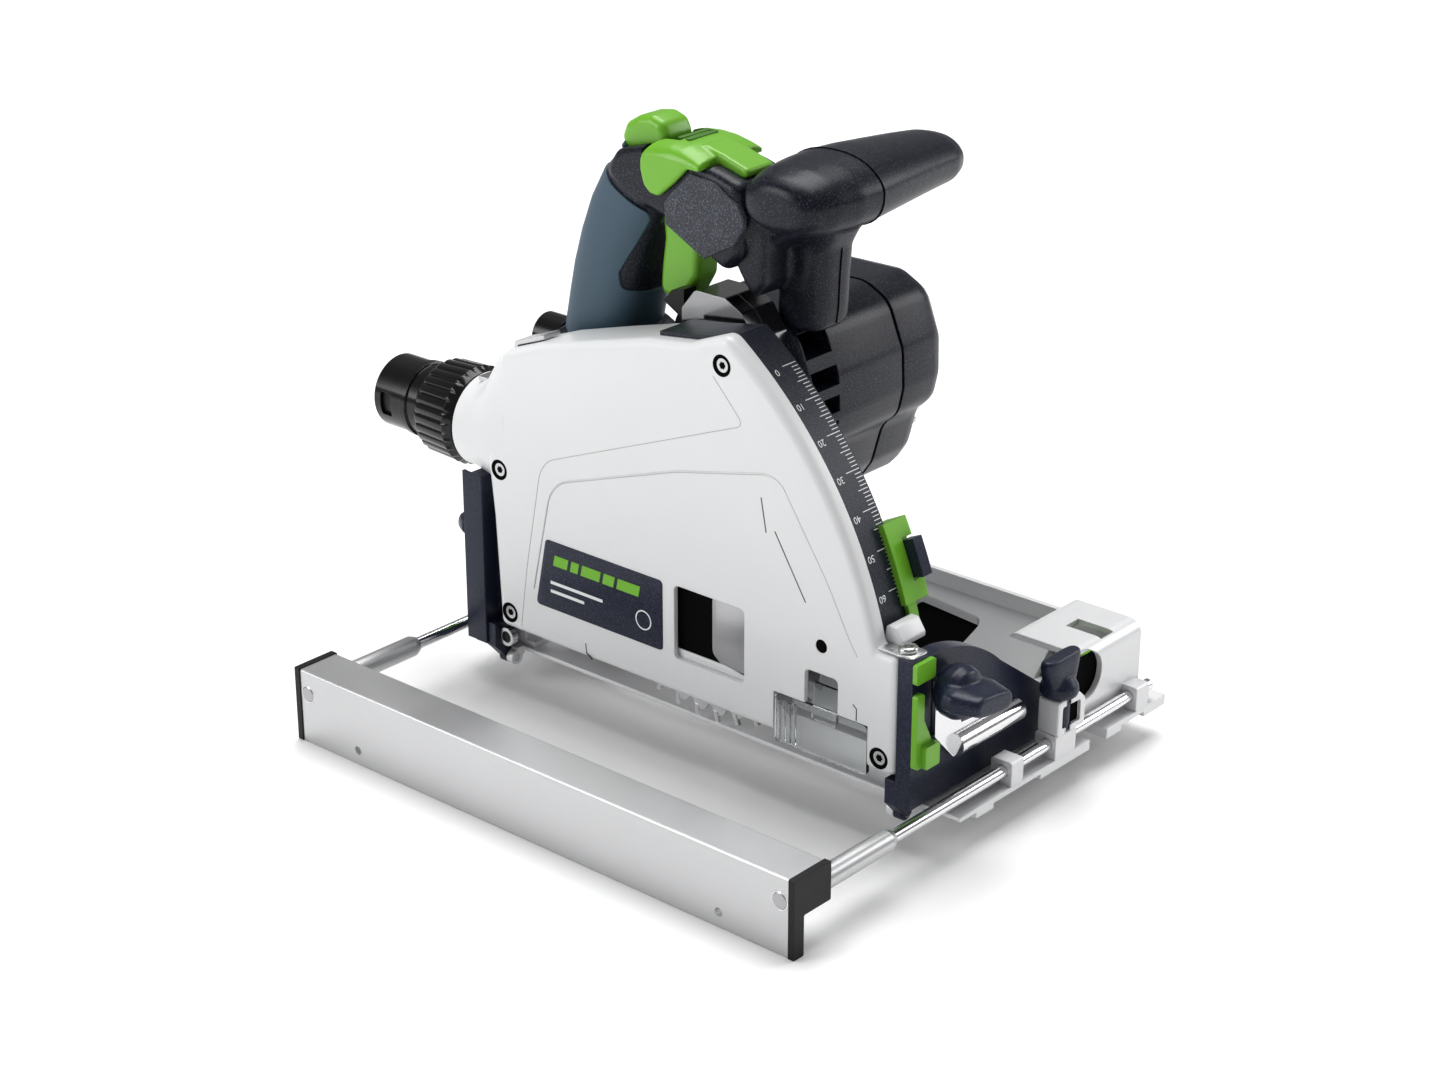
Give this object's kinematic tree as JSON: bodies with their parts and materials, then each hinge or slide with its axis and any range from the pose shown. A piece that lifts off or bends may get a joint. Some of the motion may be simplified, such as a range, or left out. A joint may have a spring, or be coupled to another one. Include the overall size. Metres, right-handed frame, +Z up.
{
  "type": "track plunge saw",
  "caption": "Track-guided plunge saw with tilting blade guard, sprung plunging head, depth and bevel scales, dust outlet and a sliding side fence on twin rods.",
  "frame": {"origin": "middle of the base plate's sole, on the work surface", "axes": "+X the way the saw cuts, +Y towards the motor side, +Z up from the sole"},
  "size_m": [0.3707, 0.2785, 0.2948],
  "materials": {
    "base_casting": "satin die-cast alloy with a light sealed coat",
    "steel": "zinc-plated steel",
    "chrome": "polished, plated steel",
    "navy_plastic": "fine-grained navy plastic",
    "green_plastic": "satin lime green plastic",
    "fence_alloy": "anodised extrusion with fine draw lines",
    "black_plastic": "moulded black plastic with fine grain",
    "guard_paint": "satin white-silver coat on cast alloy",
    "scale_navy": "satin navy band with white graduations",
    "segment_navy": "moulded navy glass-filled plastic",
    "clear_plastic": "clear moulded plastic with ribs",
    "black_gloss": "glossy black plastic",
    "gear_alloy": "machined and polished alloy casting",
    "graphite_shell": "graphite blue plastic with fine spark grain",
    "winding_steel": "laminated steel and varnished windings",
    "board_green": "potted circuit board",
    "bearing_steel": "ground bearing steel",
    "slate_grip": "slate soft overmould with fine grain",
    "blade_steel": "ground steel with carbide tips"
  },
  "bodies": {
    "base": {"base_plate": "base_casting", "bevel_pivot_pins": "steel", "bevel_posts": "base_casting", "clamp_studs": "chrome", "stop_bars": "chrome"},
    "bevel_knob_front_body": {"bevel_knob_front": "navy_plastic"},
    "bevel_knob_rear_body": {"bevel_knob_rear": "navy_plastic"},
    "rod_knob_front_body": {"rod_knob_front": "navy_plastic"},
    "rod_knob_rear_body": {"rod_knob_rear": "navy_plastic"},
    "rail_cam_front_body": {"rail_cam_front": "green_plastic"},
    "rail_cam_rear_body": {"rail_cam_rear": "green_plastic"},
    "fence": {"fence_bar": "fence_alloy", "fence_end_caps": "black_plastic", "guide_rods": "chrome", "rod_sleeves": "fence_alloy"},
    "guard": {"guard_cover": "guard_paint", "guard_frame": "guard_paint", "depth_scale": "scale_navy", "guard_screws": "steel", "bevel_segment_front": "segment_navy", "bevel_segment_rear": "segment_navy", "bevel_markers": "green_plastic", "hose_clip": "steel", "plunge_pin": "steel"},
    "bevel_stop_front_body": {"bevel_stop_front": "green_plastic"},
    "bevel_stop_rear_body": {"bevel_stop_rear": "green_plastic"},
    "splinter_guard_body": {"splinter_guard": "clear_plastic"},
    "dust_outlet": {"dust_tube": "black_gloss", "dust_collar": "black_gloss"},
    "depth_stop_body": {"depth_stop": "green_plastic"},
    "depth_button_body": {"depth_stop_button": "navy_plastic"},
    "head": {"gear_cover": "gear_alloy", "gear_housing": "gear_alloy", "motor_housing": "graphite_shell", "motor_cap": "graphite_shell", "stator": "winding_steel", "control_board": "board_green", "ball_bearings": "bearing_steel", "handle_right": "graphite_shell", "handle_left": "graphite_shell", "soft_grip": "slate_grip", "aux_handle": "graphite_shell", "switch_block": "black_plastic", "cord_inlet": "black_gloss", "housing_screws": "steel", "return_spring": "steel"},
    "trigger_body": {"trigger": "green_plastic"},
    "lock_off_body": {"lock_off": "green_plastic"},
    "blade_lever_body": {"blade_lever": "green_plastic"},
    "latch_body": {"latch": "black_plastic"},
    "rotor": {"pinion_shaft": "steel", "rotor_core": "winding_steel", "cooling_fan": "black_plastic"},
    "idler": {"idler_gear": "steel"},
    "spindle": {"saw_blade": "blade_steel", "drive_gear": "steel", "arbor_shaft": "steel", "blade_flanges": "steel", "arbor_screw": "steel"}
  },
  "joints": [
    {"name": "bevel_tilt", "type": "hinge", "parent": "base", "child": "guard", "pos_m": [0, -0.084, 0], "axis": [1, 0, 0], "range_deg": [-1, 47]},
    {"name": "plunge", "type": "hinge", "parent": "guard", "child": "head", "pos_m": [-0.0943, 0, 0.0272], "axis": [0, 1, 0], "range_deg": [0, 34], "stiffness_Nm_per_rad": 3.5, "springref_deg": -68.75},
    {"name": "fence_slide", "type": "slide", "parent": "base", "child": "fence", "axis": [0, 1, 0], "range_m": [-0.065, 0.034]},
    {"name": "bevel_knob_front_turn", "type": "hinge", "parent": "base", "child": "bevel_knob_front_body", "pos_m": [0.137, -0.07306, 0.06204], "axis": [1, 0, 0], "range_deg": [-90, 90]},
    {"name": "bevel_knob_rear_turn", "type": "hinge", "parent": "base", "child": "bevel_knob_rear_body", "pos_m": [-0.137, -0.07306, 0.06204], "axis": [-1, 0, 0], "range_deg": [-90, 90]},
    {"name": "rod_knob_front_turn", "type": "hinge", "parent": "base", "child": "rod_knob_front_body", "pos_m": [0.1475, 0, 0.043], "axis": [0, 0, 1], "range_deg": [-90, 90]},
    {"name": "rod_knob_rear_turn", "type": "hinge", "parent": "base", "child": "rod_knob_rear_body", "pos_m": [-0.1475, 0, 0.043], "axis": [0, 0, 1], "range_deg": [-90, 90]},
    {"name": "rail_cam_front_turn", "type": "hinge", "parent": "base", "child": "rail_cam_front_body", "pos_m": [0.1255, 0.045, 0.02], "axis": [0, 0, 1], "range_deg": [-60, 60]},
    {"name": "rail_cam_rear_turn", "type": "hinge", "parent": "base", "child": "rail_cam_rear_body", "pos_m": [-0.1255, 0.045, 0.02], "axis": [0, 0, 1], "range_deg": [-60, 60]},
    {"name": "splinter_slide", "type": "slide", "parent": "guard", "child": "splinter_guard_body", "axis": [0, 0, 1], "range_m": [-0.008, 0]},
    {"name": "dust_swivel", "type": "hinge", "parent": "guard", "child": "dust_outlet", "pos_m": [-0.16, -0.0715, 0.116], "axis": [1, 0, 0], "continuous": true},
    {"name": "depth_stop_arc", "type": "hinge", "parent": "guard", "child": "depth_stop_body", "pos_m": [-0.0943, 0, 0.0272], "axis": [0, 1, 0], "range_deg": [-27, 2.5]},
    {"name": "depth_button_press", "type": "slide", "parent": "depth_stop_body", "child": "depth_button_body", "axis": [-0.9252, 0, -0.3795], "range_m": [0, 0.0015], "stiffness_N_per_m": 200, "springref_m": -0.002},
    {"name": "bevel_stop_front_slide", "type": "slide", "parent": "guard", "child": "bevel_stop_front_body", "axis": [0, 0, 1], "range_m": [0, 0.004]},
    {"name": "bevel_stop_rear_slide", "type": "slide", "parent": "guard", "child": "bevel_stop_rear_body", "axis": [0, 0, 1], "range_m": [0, 0.004]},
    {"name": "trigger_pull", "type": "hinge", "parent": "head", "child": "trigger_body", "pos_m": [-0.044, -0.04, 0.236], "axis": [0, 1, 0], "range_deg": [0, 7], "stiffness_Nm_per_rad": 0.3, "springref_deg": -17.19},
    {"name": "lock_off_press", "type": "hinge", "parent": "head", "child": "lock_off_body", "pos_m": [-0.041, -0.04, 0.266], "axis": [0, -1, 0], "range_deg": [0, 5], "stiffness_Nm_per_rad": 0.3, "springref_deg": -17.19},
    {"name": "blade_lever_lift", "type": "hinge", "parent": "head", "child": "blade_lever_body", "pos_m": [-0.004, -0.04, 0.266], "axis": [0, 1, 0], "range_deg": [0, 45]},
    {"name": "latch_turn", "type": "hinge", "parent": "head", "child": "latch_body", "pos_m": [-0.03, -0.05, 0.197], "axis": [0, 1, 0], "range_deg": [0, 12]},
    {"name": "spindle_spin", "type": "hinge", "parent": "head", "child": "spindle", "pos_m": [0.00724, -0.07, 0.09189], "axis": [0, 1, 0], "continuous": true},
    {"name": "idler_spin", "type": "hinge", "parent": "head", "child": "idler", "pos_m": [-0.0039, -0.05, 0.12639], "axis": [0, 1, 0], "continuous": true},
    {"name": "rotor_spin", "type": "hinge", "parent": "head", "child": "rotor", "pos_m": [-0.01293, 0, 0.15434], "axis": [0, 1, 0], "continuous": true}
  ],
  "couplings": [
    {"joint": "idler_spin", "follows": "spindle_spin", "ratio": -0.61111},
    {"joint": "rotor_spin", "follows": "spindle_spin", "ratio": 2}
  ]
}
